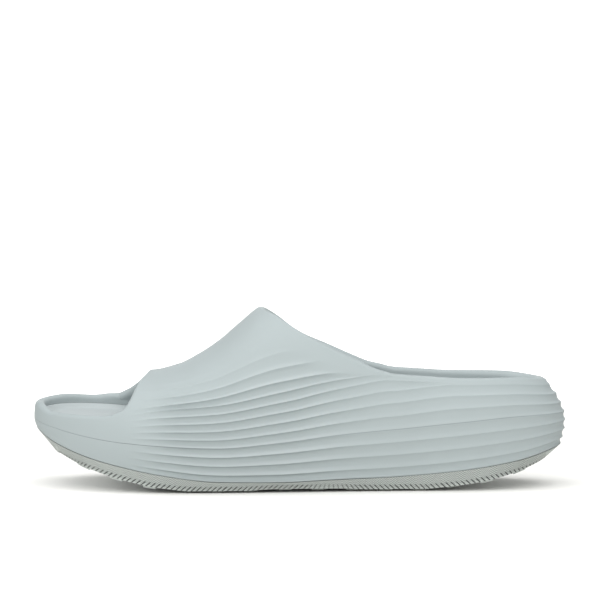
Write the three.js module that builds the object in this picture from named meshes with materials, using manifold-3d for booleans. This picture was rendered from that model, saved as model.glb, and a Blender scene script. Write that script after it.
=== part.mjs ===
// Slide sandal, left foot, in millimetres: toe towards -X, lateral side -Y, up +Z.
import * as THREE from 'three';
import Module from 'manifold-3d';

const wasm = await Module();
wasm.setup();

// Driving sizes
const shoeLength = 297;
const instepHeight = 99.5;
const heelRim = 62;
const ballHalfWidth = 56;
const heelHalfWidth = 43;
const medialWaist = 3;
const toeLean = 7;
const squareness = 2.3;
const vampWall = 5.5;
const rimWall = 5.5;
const heelWall = 10;
const toeFootWall = 6.8;
const footWall = 9;
const heelFootWall = 15;
const heelLean = 4.2;
const insoleThickness = 3;
const footbedDish = 1.5;
const outsoleThickness = 4.5;
const lugDepth = 1.4;
const edgeRise = 1.2;
const barEndRise = 0.3;
const toeSeamTuck = 1.4;
const flankSeamTuck = 3.4;
const heelSeamTuck = 2.2;
const heelBulge = 0.9;
const flankTuck = 5.5;
const endTuck = 11;
const fitGap = 0.3;
const ribDepth = 1.6;

// Where the plan outline changes form, as shares of the length
const ballAt = 0.285;
const heelAt = 0.757;
const toeSpineAt = 0.135;
const heelSpineAt = 0.87;
const toeZoneEnd = 0.2;
const heelZoneStart = 0.85;

// Where the ribs begin, ease off and end, as shares of the length, and how deep they stay
const ribsBegin = 0.18;
const ribsFull = 0.29;
const ribsEase = 0.48;
const ribsEased = 0.66;
const heelRibShare = 0.45;
const backRibGain = 0.15;
const collarFade = 0.57;
const collarFadeSpan = 0.07;
const collarFadeLean = 0.17;

// Heights down the shoe, as shares of heelRim, and the crown as a share of instepHeight.
// shoulder is where each side wall turns over into the rim, or into the vamp's fifth rib.
const sections = [
  { at: 0.0, under: 0.306, seam: 0.529, parting: 0.605, lateral: 0.722, medial: 0.722, footbed: 0.655 },
  { at: 0.04, under: 0.266, seam: 0.423, parting: 0.556, lateral: 0.64, medial: 0.742, footbed: 0.652 },
  { at: 0.101, under: 0.185, seam: 0.313, parting: 0.494, lateral: 0.628, medial: 0.733, footbed: 0.64 },
  { at: 0.165, under: 0.102, seam: 0.237, parting: 0.45, lateral: 0.668, medial: 0.756, footbed: 0.62 },
  { at: 0.242, under: 0.026, seam: 0.165, parting: 0.423, lateral: 0.729, medial: 0.76, footbed: 0.565 },
  { at: 0.35, under: -0.012, seam: 0.103, parting: 0.402, lateral: 0.776, medial: 0.785, footbed: 0.49 },
  { at: 0.461, under: 0.012, seam: 0.095, parting: 0.445, lateral: 0.884, medial: 0.884, footbed: 0.487 },
  { at: 0.576, under: 0.01, seam: 0.116, parting: 0.513, lateral: 0.998, medial: 0.992, footbed: 0.524 },
  { at: 0.65, under: -0.008, seam: 0.128, parting: 0.545, lateral: 1.035, medial: 1.02, footbed: 0.552 },
  { at: 0.687, under: -0.012, seam: 0.137, parting: 0.56, lateral: 1.015, medial: 1.0, footbed: 0.565 },
  { at: 0.801, under: 0.029, seam: 0.185, parting: 0.615, lateral: 0.972, medial: 0.966, footbed: 0.589 },
  { at: 0.909, under: 0.121, seam: 0.263, parting: 0.661, lateral: 0.964, medial: 0.966, footbed: 0.613 },
  { at: 1.0, under: 0.234, seam: 0.385, parting: 0.674, lateral: 0.93, medial: 0.93, footbed: 0.637 },
];

// Height of the vamp's crown line, and of the line it would follow past the openings
const crownLine = [
  { at: 0.0, up: 0.72 },
  { at: 0.217, up: 0.643 },
  { at: 0.273, up: 0.679 },
  { at: 0.311, up: 0.736 },
  { at: 0.35, up: 0.814 },
  { at: 0.387, up: 0.91 },
  { at: 0.424, up: 1.0 },
  { at: 0.47, up: 1.065 },
  { at: 0.53, up: 1.08 },
  { at: 0.6, up: 1.02 },
  { at: 0.687, up: 0.875 },
  { at: 0.8, up: 0.775 },
  { at: 1.0, up: 0.69 },
];

// Edges of the two openings. climb runs from the shoulder (0) to the crown (1), and rise is
// the height there as a share of the way from the shoulder's height to the crown's.
const edges = {
  lateral: {
    front: [
      { climb: 0, at: 0.155, rise: 0 },
      { climb: 0.12, at: 0.176, rise: 0.09 },
      { climb: 0.25, at: 0.19, rise: 0.3 },
      { climb: 0.5, at: 0.203, rise: 0.67 },
      { climb: 0.75, at: 0.212, rise: 0.88 },
      { climb: 1, at: 0.222, rise: 1 },
    ],
    back: [
      { climb: 0, at: 0.67, rise: 0 },
      { climb: 0.12, at: 0.646, rise: 0.05 },
      { climb: 0.25, at: 0.607, rise: 0.21 },
      { climb: 0.5, at: 0.522, rise: 0.5 },
      { climb: 0.75, at: 0.468, rise: 0.745 },
      { climb: 1, at: 0.4225, rise: 1 },
    ],
  },
  medial: {
    front: [
      { climb: 0, at: 0.155, rise: 0 },
      { climb: 0.12, at: 0.166, rise: 0.085 },
      { climb: 0.25, at: 0.178, rise: 0.2 },
      { climb: 0.5, at: 0.196, rise: 0.455 },
      { climb: 0.75, at: 0.21, rise: 0.72 },
      { climb: 1, at: 0.222, rise: 1 },
    ],
    back: [
      { climb: 0, at: 0.67, rise: 0 },
      { climb: 0.12, at: 0.635, rise: 0.06 },
      { climb: 0.25, at: 0.592, rise: 0.2 },
      { climb: 0.5, at: 0.504, rise: 0.49 },
      { climb: 0.75, at: 0.457, rise: 0.745 },
      { climb: 1, at: 0.4225, rise: 1 },
    ],
  },
};

// How far up the side wall its first four ribs lie: the upper ones draw together at the heel's rim
const ribLines = [
  { at: 0.5, first: 0.2, second: 0.4, third: 0.6, fourth: 0.8 },
  { at: 0.613, first: 0.225, second: 0.444, third: 0.66, fourth: 0.86 },
  { at: 0.687, first: 0.26, second: 0.515, third: 0.745, fourth: 0.93 },
  { at: 0.8, first: 0.35, second: 0.66, third: 0.925, fourth: 0.97 },
  { at: 1.0, first: 0.31, second: 0.62, third: 0.93, fourth: 0.97 },
];

// Ribs are counted from the parting line: down to the seam, up to the shoulder, then to the crown
const seamRow = -3.75;
const shoulderRow = 5;
const crownRow = 12;
const fadeRow = 5.5;
const lastRib = 9.6;
const smoothRow = 9;

// Columns are counted along the shoe: from 0 at the toe's tip to the vamp's front edge,
// to its back edge and to the heel's back. Walls turn upright within rimTurn of the vamp.
const vampFront = 1;
const vampBack = 2;
const heelBack = 3;
const rimTurn = 0.2;

// Mesh density
const toeColumns = 11;
const vampColumns = 15;
const heelColumns = 14;
const lipSteps = 4;
const toeBunching = 1.3;
const heelBunching = 1.15;

const clamp = (value, low, high) => Math.min(Math.max(value, low), high);
const mix = (a, b, share) => a + (b - a) * share;

function smooth(low, high, value) {
  const t = clamp((value - low) / (high - low), 0, 1);
  return t * t * (3 - 2 * t);
}

// Reads one column of a table as a smooth curve that never overshoots its rows
function curve(table, key, column) {
  const x = table.map((row) => row[key]);
  const y = table.map((row) => row[column]);
  const last = x.length - 1;
  const rise = x.slice(1).map((value, i) => (y[i + 1] - y[i]) / (value - x[i]));
  const slope = x.map((_, i) => {
    if (i === 0) return rise[0];
    if (i === last) return rise[last - 1];
    if (rise[i - 1] * rise[i] <= 0) return 0;
    return (2 * rise[i - 1] * rise[i]) / (rise[i - 1] + rise[i]);
  });
  return (value) => {
    const v = clamp(value, x[0], x[last]);
    let i = 0;
    while (i < last - 1 && v > x[i + 1]) i += 1;
    const span = x[i + 1] - x[i];
    const t = (v - x[i]) / span;
    const keep = 1 + 2 * t;
    const back = 1 - t;
    return (
      keep * back * back * y[i] +
      t * back * back * span * slope[i] +
      t * t * (3 - 2 * t) * y[i + 1] -
      t * t * back * span * slope[i + 1]
    );
  };
}

const heightOf = {};
for (const name of ['under', 'seam', 'parting', 'lateral', 'medial', 'footbed']) {
  const read = curve(sections, 'at', name);
  heightOf[name] = (x) => Math.max(read(x / shoeLength), 0) * heelRim;
}
const readCrown = curve(crownLine, 'at', 'up');
const crownHeight = (x) => readCrown(x / shoeLength) * instepHeight;

const edgeOf = {};
for (const side of ['lateral', 'medial']) {
  edgeOf[side] = {};
  for (const end of ['front', 'back']) {
    const at = curve(edges[side][end], 'climb', 'at');
    const rise = curve(edges[side][end], 'climb', 'rise');
    edgeOf[side][end] = { x: (climb) => at(climb) * shoeLength, rise };
  }
}

// Plan outline: a blunt toe, a tapering waist and a round heel
function halfWidth(side, x) {
  const ball = ballAt * shoeLength;
  const heel = heelAt * shoeLength;
  if (x < ball) {
    const share = clamp((ball - x) / ball, 0, 1);
    return ballHalfWidth * (1 - share ** squareness) ** (1 / squareness);
  }
  if (x > heel) {
    const share = clamp((x - heel) / (shoeLength - heel), 0, 1);
    return heelHalfWidth * (1 - share ** squareness) ** (1 / squareness);
  }
  const along = (x - ball) / (heel - ball);
  const waist = side === 'medial' ? medialWaist * Math.sin(Math.PI * along) ** 2 : 0;
  return mix(ballHalfWidth, heelHalfWidth, smooth(0, 1, along)) - waist;
}

const centreY = (x) => toeLean * (1 - smooth(0, ballAt * shoeLength, x));

// Columns stand closer together at the toe's tip and the heel's back
function columnX(side, column) {
  const front = edgeOf[side].front.x(0);
  const back = edgeOf[side].back.x(0);
  if (column <= vampFront) return front * (1 - Math.cos((column * Math.PI) / 2) ** toeBunching);
  if (column <= vampBack) return mix(front, back, column - vampFront);
  return mix(back, shoeLength, Math.sin(((column - vampBack) * Math.PI) / 2) ** heelBunching);
}

// The vertical plane of a column, from its place on the centre line to the outline
function plane(side, x) {
  const front = edgeOf[side].front.x(0);
  const back = edgeOf[side].back.x(0);
  let spineX = x;
  if (x < front) spineX = mix(toeSpineAt * shoeLength, front, x / front);
  if (x > back) spineX = mix(back, heelSpineAt * shoeLength, (x - back) / (shoeLength - back));
  const sign = side === 'medial' ? 1 : -1;
  const rim = new THREE.Vector2(x, centreY(x) + sign * halfWidth(side, x));
  const spine = new THREE.Vector2(spineX, centreY(spineX));
  return { spine, rim, reach: spine.distanceTo(rim) };
}

function inPlane(side, x, share, z) {
  const { spine, rim } = plane(side, x);
  return new THREE.Vector3(mix(spine.x, rim.x, share), mix(spine.y, rim.y, share), z);
}

// Runs from 0 to 1 over the heel's zone
const heelZone = (x) => smooth(heelZoneStart * shoeLength, shoeLength, x);

// How far the wall tucks in at the seam
function seamTuck(x) {
  const front = mix(toeSeamTuck, flankSeamTuck, smooth(0, toeZoneEnd * shoeLength, x));
  return mix(front, heelSeamTuck, heelZone(x));
}

// Angle round the upper section, 0 at the parting line and 90 degrees on the crown
function turnAt(x, z) {
  const low = heightOf.parting(x);
  const share = clamp((z - low) / (crownHeight(x) - low), 0, 1);
  return Math.asin(share ** (squareness / 2));
}

function upperSection(side, x, turn, inset) {
  const low = heightOf.parting(x);
  const share = Math.max(Math.cos(turn), 0) ** (2 / squareness);
  const z = mix(low, crownHeight(x), Math.sin(turn) ** (2 / squareness));
  return inPlane(side, x, share - inset / plane(side, x).reach, z);
}

const ribSteps = ['first', 'second', 'third', 'fourth'].map((name) => curve(ribLines, 'at', name));

// Share of the way from the parting line to the shoulder at a row between them
function climbOf(x, row) {
  const stops = [0, ...ribSteps.map((read) => read(x / shoeLength)), 1];
  const below = clamp(Math.floor(row), 0, stops.length - 2);
  return mix(stops[below], stops[below + 1], row - below);
}

function wallPoint(side, x, row) {
  const parting = heightOf.parting(x);
  if (row < 0) {
    const drop = row / seamRow;
    const z = mix(parting, heightOf.seam(x), drop);
    const bulge = heelBulge * heelZone(x) * Math.sin(Math.PI * drop);
    return inPlane(side, x, 1 - (seamTuck(x) * drop ** 1.6 - bulge) / plane(side, x).reach, z);
  }
  const climb = climbOf(x, row);
  const z = mix(parting, heightOf[side](x), climb);
  const inset = heelLean * heelZone(x) * climb ** 0.8;
  return upperSection(side, x, turnAt(x, z), inset);
}

// The vamp above the shoulder: rows lean from the front edge to the back edge
function vampPoint(side, column, row) {
  const climb = (row - shoulderRow) / (crownRow - shoulderRow);
  const across = column - vampFront;
  const { front, back } = edgeOf[side];
  const x = mix(front.x(climb), back.x(climb), across);
  const start = turnAt(x, heightOf[side](x));
  const even = 0.45 * climb + 0.55 * climb ** 2.6;
  const free = mix(start, Math.PI / 2, even);
  const nearFront = (1 - across) ** 4;
  const nearBack = across ** 4;
  const edgeTurn = (edge) => turnAt(x, mix(heightOf[side](x), crownHeight(x), edge.rise(climb)));
  const between = free * (1 - nearFront - nearBack);
  const turn = between + edgeTurn(front) * nearFront + edgeTurn(back) * nearBack;
  return upperSection(side, x, turn, 0);
}

function skinPoint(side, column, row) {
  if (row <= shoulderRow) return wallPoint(side, columnX(side, column), row);
  return vampPoint(side, column, row);
}

// Outward direction of the smooth skin, from its slopes along and across
function outward(side, column, row) {
  const alongStep = 0.01;
  const acrossStep = 0.05;
  const zoneLow = row > shoulderRow ? vampFront : 0;
  const zoneHigh = row > shoulderRow ? vampBack : heelBack;
  const c0 = clamp(column - alongStep, zoneLow, zoneHigh);
  const c1 = clamp(column + alongStep, zoneLow, zoneHigh);
  const rowTop = row > shoulderRow ? crownRow : shoulderRow;
  const rowLow = row > shoulderRow ? shoulderRow + 0.001 : seamRow;
  const r0 = clamp(row - acrossStep, rowLow, rowTop);
  const r1 = clamp(row + acrossStep, rowLow, rowTop);
  const along = skinPoint(side, c1, row).sub(skinPoint(side, c0, row));
  const across = skinPoint(side, column, r1).sub(skinPoint(side, column, r0));
  if (row >= crownRow) return new THREE.Vector3(-along.z, 0, along.x).normalize();
  if (column === 0) return new THREE.Vector3(-across.z, 0, across.x).normalize();
  if (column === heelBack) return new THREE.Vector3(across.z, 0, -across.x).normalize();
  const normal = along.cross(across).normalize();
  return side === 'medial' ? normal.negate() : normal;
}

// Ribs: sharp crests on whole rows, round scoops between, fading towards the toe and the crown
function scoop(side, column, row) {
  const x = skinPoint(side, column, row).x;
  const place = row < seamRow + 0.75 ? (row - seamRow) / 0.75 : row - Math.floor(row);
  const hollow = 4 * place * (1 - place);
  const share = x / shoeLength;
  const toe = smooth(ribsBegin, ribsFull, share);
  const heel = mix(1, heelRibShare, smooth(ribsEase, ribsEased, share));
  const back = backRibGain * smooth(0.9, 0.98, share);
  const reachBack = clamp((row - shoulderRow) / (smoothRow - shoulderRow), 0, 1);
  const fadeFrom = collarFade - collarFadeLean * reachBack;
  const collar = 1 - smooth(fadeFrom, fadeFrom + collarFadeSpan, share);
  const top = row > shoulderRow ? (1 - smooth(fadeRow, lastRib, row)) * collar : 1;
  let drawn = 1;
  if (row > 0 && row < shoulderRow) {
    const below = Math.floor(row);
    const span = climbOf(x, below + 1) - climbOf(x, below);
    drawn = smooth(0.04, 0.18, span);
  }
  return ribDepth * hollow * toe * (heel + back) * top * drawn;
}

function outerPoint(side, column, row) {
  const depth = scoop(side, column, row);
  return skinPoint(side, column, row).addScaledVector(outward(side, column, row), -depth);
}

function wallAt(column) {
  if (column > vampBack) return mix(rimWall, heelWall, smooth(vampBack + rimTurn, heelBack, column));
  return column < vampFront ? rimWall : mix(rimWall, vampWall, column - vampFront);
}

// Inside the toe's and heel's rims the wall stands nearly upright
function innerPoint(side, column, row) {
  const toeTurn = 1 - smooth(vampFront - rimTurn, vampFront, column);
  const upright = Math.max(toeTurn, smooth(vampBack, vampBack + rimTurn, column));
  const direction = outward(side, column, row);
  direction.setZ(direction.z * (1 - 0.7 * upright)).normalize();
  const point = skinPoint(side, column, row).addScaledVector(direction, -wallAt(column));
  if (row === shoulderRow) point.z = Math.max(point.z, footbedHeight(point.x, 1) + fitGap);
  return point;
}

// Footbed, dished towards its middle
function footbedHeight(x, share) {
  return heightOf.footbed(x) - footbedDish * (1 - share ** 3);
}

function footShare(side, x) {
  const front = mix(toeFootWall, footWall, smooth(0, toeZoneEnd * shoeLength, x));
  const wall = mix(front, heelFootWall, heelZone(x));
  return 1 - wall / plane(side, x).reach;
}

// A mesh made of quads whose shared corners are merged
class Sheet {
  constructor() {
    this.points = [];
    this.faces = [];
    this.known = new Map();
  }

  corner(point) {
    const key = point.toArray().map((value) => Math.round(value * 2000)).join(' ');
    if (!this.known.has(key)) {
      this.known.set(key, this.points.length);
      this.points.push(point.clone());
    }
    return this.known.get(key);
  }

  triangle(a, b, c) {
    if (a !== b && b !== c && c !== a) this.faces.push(a, b, c);
  }

  // Joins neighbouring strips of points, cutting each quad along its shorter diagonal
  strip(first, second, flip) {
    for (let i = 0; i + 1 < first.length; i += 1) {
      const ring = [first[i], second[i], second[i + 1], first[i + 1]];
      if (flip) ring.reverse();
      const [a, b, c, d] = ring.map((point) => this.corner(point));
      if (ring[0].distanceTo(ring[2]) < ring[1].distanceTo(ring[3])) {
        this.triangle(a, b, c);
        this.triangle(a, c, d);
      } else {
        this.triangle(a, b, d);
        this.triangle(b, c, d);
      }
    }
  }

  geometry() {
    const geometry = new THREE.BufferGeometry();
    const flat = this.points.flatMap((point) => point.toArray());
    geometry.setAttribute('position', new THREE.Float32BufferAttribute(flat, 3));
    geometry.setIndex(this.faces);
    return geometry;
  }
}

function columnList() {
  const toe = Array.from({ length: toeColumns }, (_, i) => i / toeColumns);
  const vamp = Array.from({ length: vampColumns }, (_, i) => vampFront + i / vampColumns);
  const heel = Array.from({ length: heelColumns + 1 }, (_, i) => vampBack + i / heelColumns);
  return [...toe, ...vamp, ...heel];
}

// Crests and the middles of the scoops between them
function rowList(from, to) {
  const rows = [];
  for (let row = Math.ceil(from * 2) / 2; row < to; row += 0.5) rows.push(row);
  if (rows[0] > from) rows.unshift(from);
  rows.push(to);
  return rows;
}

const wallRows = rowList(seamRow, shoulderRow);
const plainRows = Array.from({ length: crownRow - smoothRow }, (_, i) => smoothRow + 1 + i);
const vampRows = [...rowList(shoulderRow, smoothRow), ...plainRows];
const underShares = [0, 0.45, 0.8];

// Underside of the foam, level with the seam at its edge
function foamUnder(x, share) {
  const middle = heightOf.under(x) + outsoleThickness + fitGap;
  return mix(middle, heightOf.seam(x), share ** 4);
}

function bodyColumn(side, column) {
  const x = columnX(side, column);
  const seamShare = 1 - seamTuck(x) / plane(side, x).reach;
  const under = underShares.map((share) => inPlane(side, x, share * seamShare, foamUnder(x, share)));
  const wall = wallRows.map((row) => outerPoint(side, column, row));
  const foot = footShare(side, x);
  const lip = innerPoint(side, column, shoulderRow);
  const bedEdge = inPlane(side, x, foot, footbedHeight(x, 1));
  const floorDrop = insoleThickness + fitGap;
  const floor = [1, 0.7, 0.35, 0].map((share) =>
    inPlane(side, x, foot * share, footbedHeight(x, share) - floorDrop));
  const inside = [lip, lip.clone().lerp(bedEdge, 0.5), bedEdge, ...floor];
  return { outer: [...under, ...wall], inner: inside };
}

function vampColumn(side, column) {
  const outer = vampRows.map((row) => outerPoint(side, column, row));
  const inner = vampRows.map((row) => innerPoint(side, column, row)).reverse();
  return { outer, inner };
}

// The rounded lip between the outer and inner edges of an opening
function addLip(sheet, loop) {
  const count = loop.length;
  const rings = loop.map((stop, i) => {
    const before = loop[(i + count - 1) % count].outer;
    const after = loop[(i + 1) % count].outer;
    const along = after.clone().sub(before).normalize();
    const half = stop.outer.clone().sub(stop.inner).multiplyScalar(0.5);
    const middle = stop.outer.clone().add(stop.inner).multiplyScalar(0.5);
    const out = along.clone().cross(half).normalize();
    const away = middle.clone().sub(stop.behind);
    if (out.dot(away) < 0) out.negate();
    out.multiplyScalar(half.length() * 0.85);
    return Array.from({ length: lipSteps + 1 }, (_, k) => {
      const angle = (k * Math.PI) / lipSteps;
      const turned = middle.clone().addScaledVector(half, Math.cos(angle));
      return turned.addScaledVector(out, Math.sin(angle));
    });
  });
  for (let i = 0; i < count; i += 1) sheet.strip(rings[i], rings[(i + 1) % count], false);
}

function edgeStop(side, column, row, behindColumn, behindRow) {
  return {
    outer: outerPoint(side, column, row),
    inner: innerPoint(side, column, row),
    behind: skinPoint(side, behindColumn, behindRow),
  };
}

function foamGeometry() {
  const sheet = new Sheet();
  const columns = columnList();
  for (const side of ['lateral', 'medial']) {
    const flip = side === 'medial';
    const walls = columns.map((column) => bodyColumn(side, column));
    for (let i = 0; i + 1 < columns.length; i += 1) {
      sheet.strip(walls[i].outer, walls[i + 1].outer, flip);
      sheet.strip(walls[i].inner, walls[i + 1].inner, flip);
    }
    const vamp = columns.filter((column) => column >= vampFront && column <= vampBack);
    const arches = vamp.map((column) => vampColumn(side, column));
    for (let i = 0; i + 1 < vamp.length; i += 1) {
      sheet.strip(arches[i].outer, arches[i + 1].outer, flip);
      sheet.strip(arches[i].inner, arches[i + 1].inner, flip);
    }
  }
  const rim = (side, list) => list.map((column) => edgeStop(side, column, shoulderRow, column, 3));
  const arch = (side, column, step) =>
    vampRows.slice(1).map((row) => edgeStop(side, column, row, column + step, row));
  const toe = columns.filter((column) => column <= vampFront);
  const heel = columns.filter((column) => column >= vampBack);
  addLip(sheet, [
    ...rim('lateral', toe),
    ...arch('lateral', vampFront, 0.1),
    ...arch('medial', vampFront, 0.1).reverse().slice(1),
    ...rim('medial', toe.slice(1)).reverse(),
  ]);
  addLip(sheet, [
    ...arch('lateral', vampBack, -0.1).reverse(),
    ...rim('lateral', heel),
    ...rim('medial', heel.slice(0, -1)).reverse(),
    ...arch('medial', vampBack, -0.1).slice(0, -1),
  ]);
  return sheet.geometry();
}

// A closed sheet from a stack of points per column, spine to edge to spine
function sheetGeometry(stack) {
  const sheet = new Sheet();
  const columns = columnList();
  for (const side of ['lateral', 'medial']) {
    const stacks = columns.map((column) => stack(side, columnX(side, column)));
    for (let i = 0; i + 1 < columns.length; i += 1) {
      sheet.strip(stacks[i], stacks[i + 1], side === 'medial');
    }
  }
  return sheet.geometry();
}

function insoleStack(side, x) {
  const reach = plane(side, x).reach;
  const edge = footShare(side, x) - fitGap / reach;
  const top = [1, 0.7, 0.35, 0].map((share) => inPlane(side, x, edge * share, footbedHeight(x, share)));
  const down = (point) => point.clone().setZ(point.z - insoleThickness);
  const under = top.map(down).reverse();
  return [...under, ...top];
}

// The outsole's side leans in more at the toe and heel than along the flanks
function undersideTuck(x) {
  const toe = 1 - smooth(0, 0.12 * shoeLength, x);
  const heel = heelZone(x);
  return mix(flankTuck, endTuck, Math.max(toe, heel));
}

// The bars' ends come lower than the side's edge at the toe and the heel
function barEnd(x) {
  const toe = 1 - smooth(0.22 * shoeLength, 0.27 * shoeLength, x);
  const heel = smooth(0.8 * shoeLength, 0.86 * shoeLength, x);
  return mix(edgeRise, barEndRise, Math.max(toe, heel));
}

function outsoleStack(side, x, raise, edgeHeight) {
  const reach = plane(side, x).reach;
  const seamShare = 1 - seamTuck(x) / reach;
  const edgeShare = 1 - undersideTuck(x) / reach;
  const under = heightOf.under(x);
  const top = [1, 0.8, 0.45, 0].map((share) =>
    inPlane(side, x, share * seamShare, foamUnder(x, share) - fitGap));
  const bottom = [0, 0.5, 0.9].map((share) => inPlane(side, x, share * edgeShare, under + raise));
  const edge = inPlane(side, x, edgeShare, under + edgeHeight);
  return [...bottom, edge, ...top];
}

function solidOf(geometry) {
  return new wasm.Manifold(new wasm.Mesh({
    numProp: 3,
    vertProperties: new Float32Array(geometry.attributes.position.array),
    triVerts: new Uint32Array(geometry.index.array),
  }));
}

function geometryOf(solid) {
  const { vertProperties, triVerts } = solid.getMesh();
  const geometry = new THREE.BufferGeometry();
  geometry.setAttribute('position', new THREE.BufferAttribute(vertProperties, 3));
  geometry.setIndex(new THREE.BufferAttribute(triVerts, 1));
  return geometry;
}

// Tread bars across the outsole, with a channel along the middle
const treadPitch = 18.5;
const barLength = 7;
const firstBar = 7.8;
const channelWidth = 8;

function outsoleGeometry() {
  const full = solidOf(sheetGeometry((side, x) => outsoleStack(side, x, 0, barEnd(x))));
  const web = solidOf(sheetGeometry((side, x) => outsoleStack(side, x, lugDepth, edgeRise)));
  let bars = null;
  const halfSpan = ballHalfWidth + toeLean;
  for (let x = firstBar; x < shoeLength; x += treadPitch) {
    for (const sign of [-1, 1]) {
      const bar = new THREE.BoxGeometry(barLength, halfSpan, heelRim);
      const middle = sign * (halfSpan + channelWidth) / 2;
      bar.translate(x + barLength / 2, middle, heelRim / 2 - lugDepth);
      const clean = new THREE.BufferGeometry();
      const merged = weld(bar);
      clean.setAttribute('position', merged.attributes.position);
      clean.setIndex(merged.index);
      const solid = solidOf(clean);
      bars = bars ? bars.add(solid) : solid;
    }
  }
  return geometryOf(web.add(full.intersect(bars)));
}

function weld(geometry) {
  const sheet = new Sheet();
  const place = geometry.attributes.position;
  const corners = Array.from({ length: place.count }, (_, i) =>
    sheet.corner(new THREE.Vector3().fromBufferAttribute(place, i)));
  const index = geometry.index.array;
  for (let i = 0; i < index.length; i += 3) {
    sheet.triangle(corners[index[i]], corners[index[i + 1]], corners[index[i + 2]]);
  }
  return sheet.geometry();
}

function piece(name, geometry, color, roughness) {
  const material = new THREE.MeshStandardMaterial({ color, roughness, metalness: 0 });
  const mesh = new THREE.Mesh(geometry, material);
  mesh.name = name;
  return mesh;
}

const group = new THREE.Group();
group.add(piece('foam_upper_and_midsole', foamGeometry(), 0xb6c3c5, 0.75));
group.add(piece('insole', sheetGeometry(insoleStack), 0xc0c9cb, 0.85));
group.add(piece('outsole', outsoleGeometry(), 0xadb4b0, 0.65));

// The origin is under the middle of the shoe, on the floor
const box = new THREE.Box3().setFromObject(group);
const centre = box.getCenter(new THREE.Vector3());
group.position.set(-centre.x, -centre.y, -box.min.z);

export default group;
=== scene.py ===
import math

import bmesh
import bpy
import numpy as np
from mathutils import Matrix, Vector


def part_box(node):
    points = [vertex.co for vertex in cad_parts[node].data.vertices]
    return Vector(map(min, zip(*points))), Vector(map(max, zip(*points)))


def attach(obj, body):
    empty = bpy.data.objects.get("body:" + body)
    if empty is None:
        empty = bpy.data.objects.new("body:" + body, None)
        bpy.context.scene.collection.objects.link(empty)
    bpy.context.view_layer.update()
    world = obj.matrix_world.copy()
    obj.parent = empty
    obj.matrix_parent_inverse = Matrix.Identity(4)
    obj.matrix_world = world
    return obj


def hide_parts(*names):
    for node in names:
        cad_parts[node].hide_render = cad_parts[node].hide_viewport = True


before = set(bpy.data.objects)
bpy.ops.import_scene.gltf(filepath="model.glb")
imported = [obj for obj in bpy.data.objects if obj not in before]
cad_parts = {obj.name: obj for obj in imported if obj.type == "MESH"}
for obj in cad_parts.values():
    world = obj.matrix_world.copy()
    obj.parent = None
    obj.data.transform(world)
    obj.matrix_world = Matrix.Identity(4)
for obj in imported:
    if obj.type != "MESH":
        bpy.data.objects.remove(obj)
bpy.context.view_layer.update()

# Foam upper and midsole: the body of the slide, moulded whole in one soft foam.
# Ribs run round its sides and fade over the vamp and the toe, and a fine mould
# line follows the crest of the middle rib.
foam_low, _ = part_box("foam_upper_and_midsole")
MM = 0.001
SHOE_LENGTH = 297 * MM
INSTEP_HEIGHT = 99.5 * MM
HEEL_RIM = 62 * MM
BALL_HALF_WIDTH = 56 * MM
HEEL_HALF_WIDTH = 43 * MM
MEDIAL_WAIST = 3 * MM
TOE_LEAN = 7 * MM
SQUARENESS = 2.3
VAMP_WALL = 5.5 * MM
RIM_WALL = 5.5 * MM
HEEL_WALL = 10 * MM
TOE_FOOT_WALL = 6.8 * MM
FOOT_WALL = 9 * MM
HEEL_FOOT_WALL = 15 * MM
HEEL_LEAN = 4.2 * MM
INSOLE_THICKNESS = 3 * MM
OUTSOLE_THICKNESS = 4.5 * MM
FIT_GAP = 0.3 * MM
RIB_DEPTH = 1.6 * MM
TOE_SEAM_TUCK = 1.4 * MM
FLANK_SEAM_TUCK = 3.4 * MM
HEEL_SEAM_TUCK = 2.2 * MM
HEEL_BULGE = 0.9 * MM
PARTING_DEPTH = 0.22 * MM
FOOTBED_DISH = 1.5 * MM

# Where the outline changes form, as shares of the length
BALL_AT = 0.285
HEEL_AT = 0.757
TOE_SPINE_AT = 0.135
HEEL_SPINE_AT = 0.87
TOE_ZONE_END = 0.2
HEEL_ZONE_START = 0.85

# Where the ribs begin, ease off and end, as shares of the length, and how deep they stay
RIBS_BEGIN = (0.18, 0.29)
RIBS_EASE = (0.48, 0.66)
HEEL_RIB_SHARE = 0.45
BACK_RIBS = (0.9, 0.98)
BACK_RIB_GAIN = 0.15
COLLAR_FADE = 0.57
COLLAR_FADE_SPAN = 0.07
COLLAR_FADE_LEAN = 0.17
NARROW_RIB = (0.04, 0.18)

# How sharply each form turns into the next
TUCK_EASE = 1.6
LEAN_EASE = 0.8
DISH_EASE = 3
UNDER_EASE = 4
VAMP_EVEN = 0.45
VAMP_EASE = 2.6
EDGE_HOLD = 4
LEVEL_TURN = 0.7
TOE_BUNCHING = 1.3
HEEL_BUNCHING = 1.15

# Heights down the shoe as shares of the heel rim's height; at is a share of the length
SECTIONS = {
    "at": (0.0, 0.04, 0.101, 0.165, 0.242, 0.35, 0.461, 0.576, 0.65, 0.687, 0.801, 0.909, 1.0),
    "under": (0.306, 0.266, 0.185, 0.102, 0.026, -0.012, 0.012, 0.01, -0.008, -0.012, 0.029, 0.121, 0.234),
    "seam": (0.529, 0.423, 0.313, 0.237, 0.165, 0.103, 0.095, 0.116, 0.128, 0.137, 0.185, 0.263, 0.385),
    "parting": (0.605, 0.556, 0.494, 0.45, 0.423, 0.402, 0.445, 0.513, 0.545, 0.56, 0.615, 0.661, 0.674),
    "lateral": (0.722, 0.64, 0.628, 0.668, 0.729, 0.776, 0.884, 0.998, 1.035, 1.015, 0.972, 0.964, 0.93),
    "medial": (0.722, 0.74, 0.722, 0.756, 0.76, 0.785, 0.884, 0.992, 1.02, 1.0, 0.966, 0.966, 0.93),
    "footbed": (0.655, 0.652, 0.64, 0.62, 0.565, 0.49, 0.487, 0.524, 0.552, 0.565, 0.589, 0.613, 0.637),
}
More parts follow.
